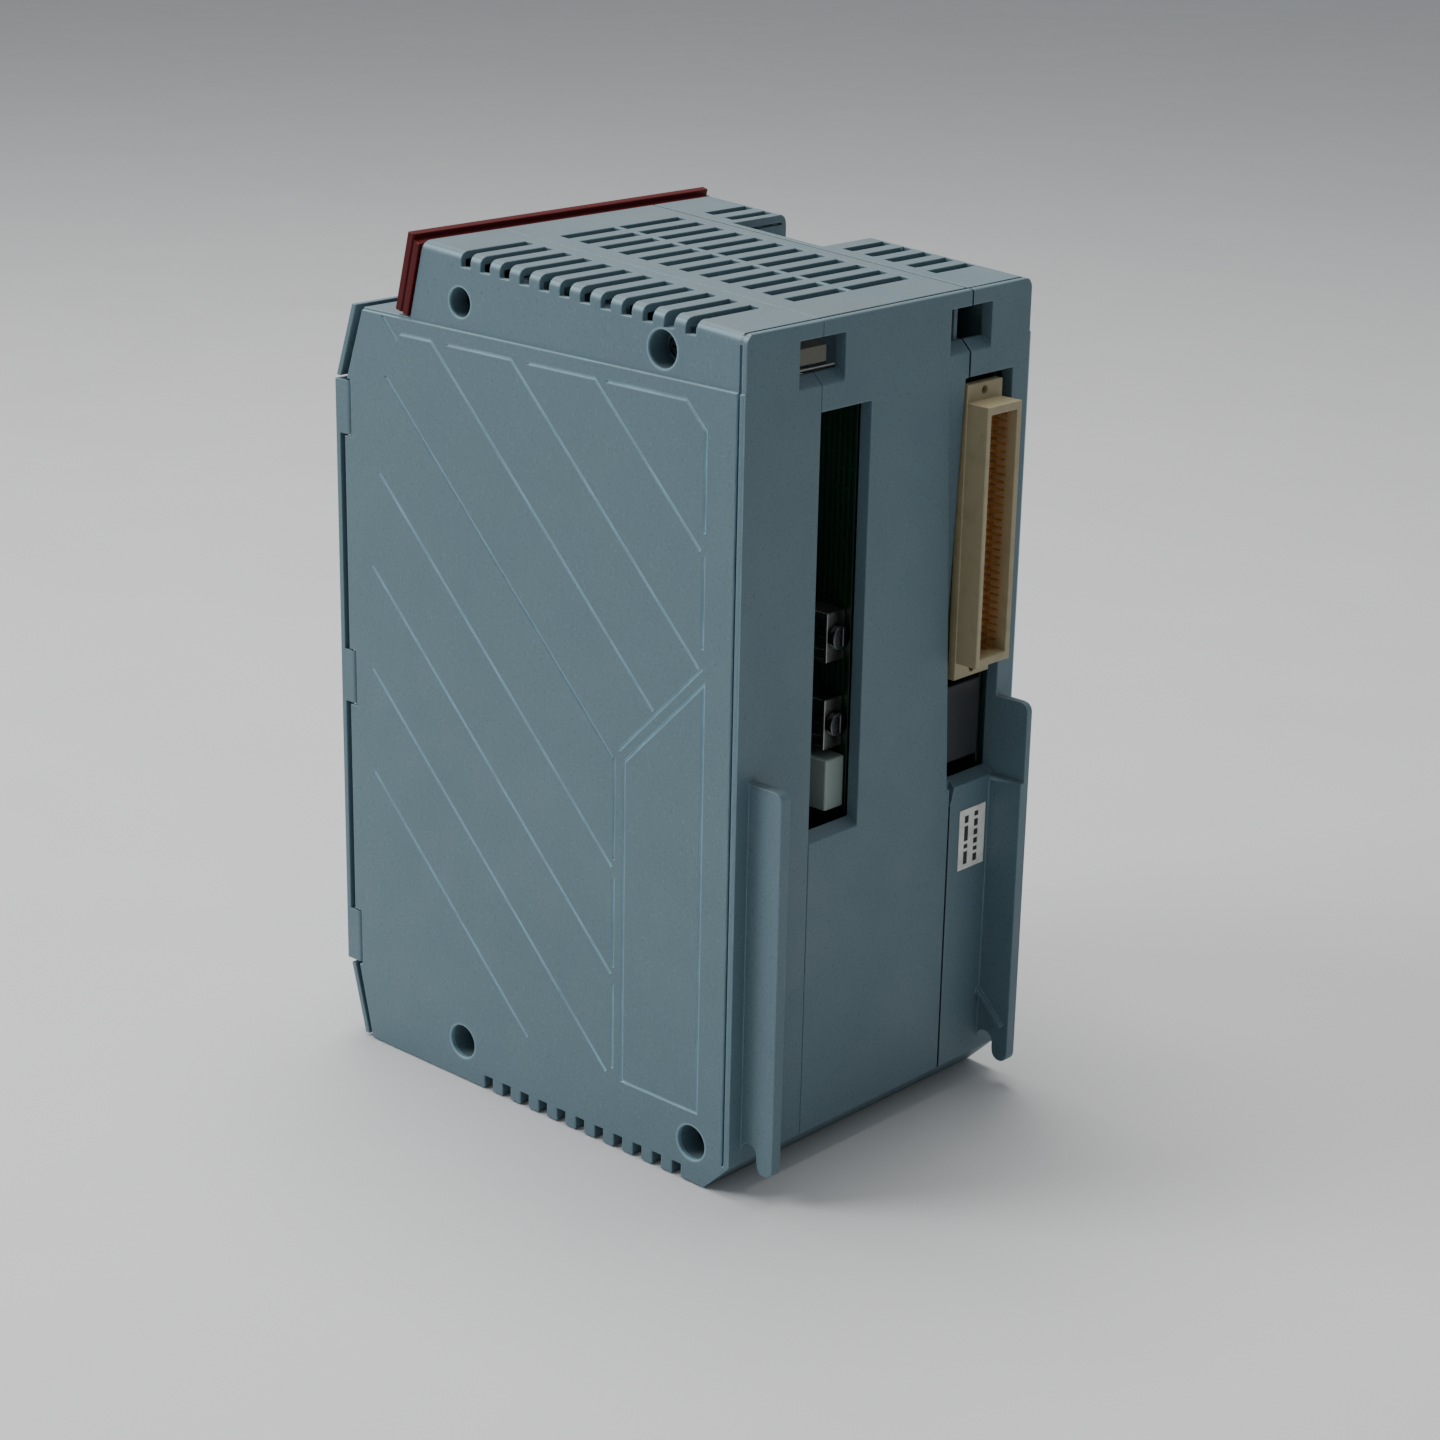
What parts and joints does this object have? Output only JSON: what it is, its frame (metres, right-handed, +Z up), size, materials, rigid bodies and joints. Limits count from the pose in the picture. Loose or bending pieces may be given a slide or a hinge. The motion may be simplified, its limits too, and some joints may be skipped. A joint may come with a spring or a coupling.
{
  "type": "rack-mounted servo drive",
  "caption": "Tall rack-mounted servo drive with a hinged front door, leaning key panel, louvred top, rear hook rails and a rear plug connector.",
  "frame": {"origin": "bottom centre of the bounding box, on the surface that the module stands on", "axes": "+Z up, the door faces -Y, the plug connector and hook rails face +Y, +X is the side that carries the door hinge"},
  "size_m": [0.134, 0.1914, 0.2824],
  "materials": {
    "housing": "fine-textured blue-grey moulding",
    "bezel": "smooth dark red moulding",
    "smoked_window": "polished smoked window",
    "light_bar": "frosted light bar",
    "key": "satin grey key cap",
    "board": "green lacquered circuit board",
    "terminal": "black moulding",
    "connector": "beige connector moulding",
    "contact": "plated contacts",
    "steel": "bright zinc-plated steel",
    "reset": "red button",
    "lever": "off-white moulding",
    "label": "white printed film",
    "component": "dark grey moulding",
    "relay": "pale green-grey case",
    "aluminium": "extruded aluminium",
    "capacitor": "dark shrink sleeve",
    "choke": "enamelled winding"
  },
  "bodies": {
    "housing": {"right_shell": "housing", "left_shell": "housing", "middle_housing": "housing", "front_frame": "housing", "front_bezel": "bezel", "display_window": "smoked_window", "display_module": "board", "key_board": "board", "status_lights": "light_bar", "hinge_pin_bottom": "steel", "hinge_pin_middle": "steel", "hinge_pin_top": "steel", "rear_label": "label", "power_terminals": "terminal", "signal_header": "connector", "signal_contacts": "contact", "encoder_shell": "steel", "encoder_insert": "terminal", "mode_switch": "terminal", "earth_screw": "steel", "bus_connector": "connector", "bus_contacts": "contact", "filter_block": "component", "control_board": "board", "power_board": "board", "clamp_upper": "steel", "clamp_lower": "steel", "clamp_screw_upper": "steel", "clamp_screw_lower": "steel", "relay": "relay", "heat_sink": "aluminium", "power_module": "component", "standoff_upper": "steel", "standoff_lower": "steel", "capacitor_1": "capacitor", "capacitor_2": "capacitor", "capacitor_3": "capacitor", "filter_choke": "choke", "right_screw_top_rear": "steel", "right_screw_top_front": "steel", "right_screw_bottom_rear": "steel", "right_screw_bottom_front": "steel", "left_screw_top_rear": "steel", "left_screw_top_front": "steel", "left_screw_bottom_rear": "steel", "left_screw_bottom_front": "steel"},
    "door": {"front_door": "housing", "door_label": "label"},
    "first_key": {"key_1": "key"},
    "second_key": {"key_2": "key"},
    "third_key": {"key_3": "key"},
    "fourth_key": {"key_4": "key"},
    "reset": {"reset_button": "reset"},
    "lever": {"mode_lever": "lever"},
    "first_dial": {"address_dial_1": "lever"},
    "second_dial": {"address_dial_2": "lever"},
    "slider": {"release_slider": "component"},
    "latch": {"rack_latch": "lever"}
  },
  "joints": [
    {"name": "door_hinge", "type": "hinge", "parent": "housing", "child": "door", "pos_m": [0.0655, -0.0902, 0.12835], "axis": [0, 0, 1], "range_deg": [0, 100]},
    {"name": "key_1_press", "type": "slide", "parent": "housing", "child": "first_key", "axis": [0, 0.9685, -0.2492], "range_m": [0, 0.001], "stiffness_N_per_m": 300},
    {"name": "key_2_press", "type": "slide", "parent": "housing", "child": "second_key", "axis": [0, 0.9685, -0.2492], "range_m": [0, 0.001], "stiffness_N_per_m": 300},
    {"name": "key_3_press", "type": "slide", "parent": "housing", "child": "third_key", "axis": [0, 0.9685, -0.2492], "range_m": [0, 0.001], "stiffness_N_per_m": 300},
    {"name": "key_4_press", "type": "slide", "parent": "housing", "child": "fourth_key", "axis": [0, 0.9685, -0.2492], "range_m": [0, 0.001], "stiffness_N_per_m": 300},
    {"name": "reset_press", "type": "slide", "parent": "housing", "child": "reset", "axis": [0, 1, 0], "range_m": [0, 0.0015], "stiffness_N_per_m": 300},
    {"name": "mode_slide", "type": "slide", "parent": "housing", "child": "lever", "axis": [0, 0, 1], "range_m": [0, 0.0056]},
    {"name": "dial_1_turn", "type": "hinge", "parent": "housing", "child": "first_dial", "pos_m": [0.018, -0.072, 0.218], "axis": [0, 1, 0], "continuous": true},
    {"name": "dial_2_turn", "type": "hinge", "parent": "housing", "child": "second_dial", "pos_m": [0.036, -0.072, 0.218], "axis": [0, 1, 0], "continuous": true},
    {"name": "release_slide", "type": "slide", "parent": "housing", "child": "slider", "axis": [0, 1, 0], "range_m": [0, 0.006], "stiffness_N_per_m": 120, "springref_m": -0.001},
    {"name": "latch_slide", "type": "slide", "parent": "housing", "child": "latch", "axis": [0, 0, -1], "range_m": [0, 0.002], "stiffness_N_per_m": 120, "springref_m": -0.001}
  ],
  "couplings": [
    {"joint": "latch_slide", "follows": "release_slide", "ratio": 0.3333}
  ]
}
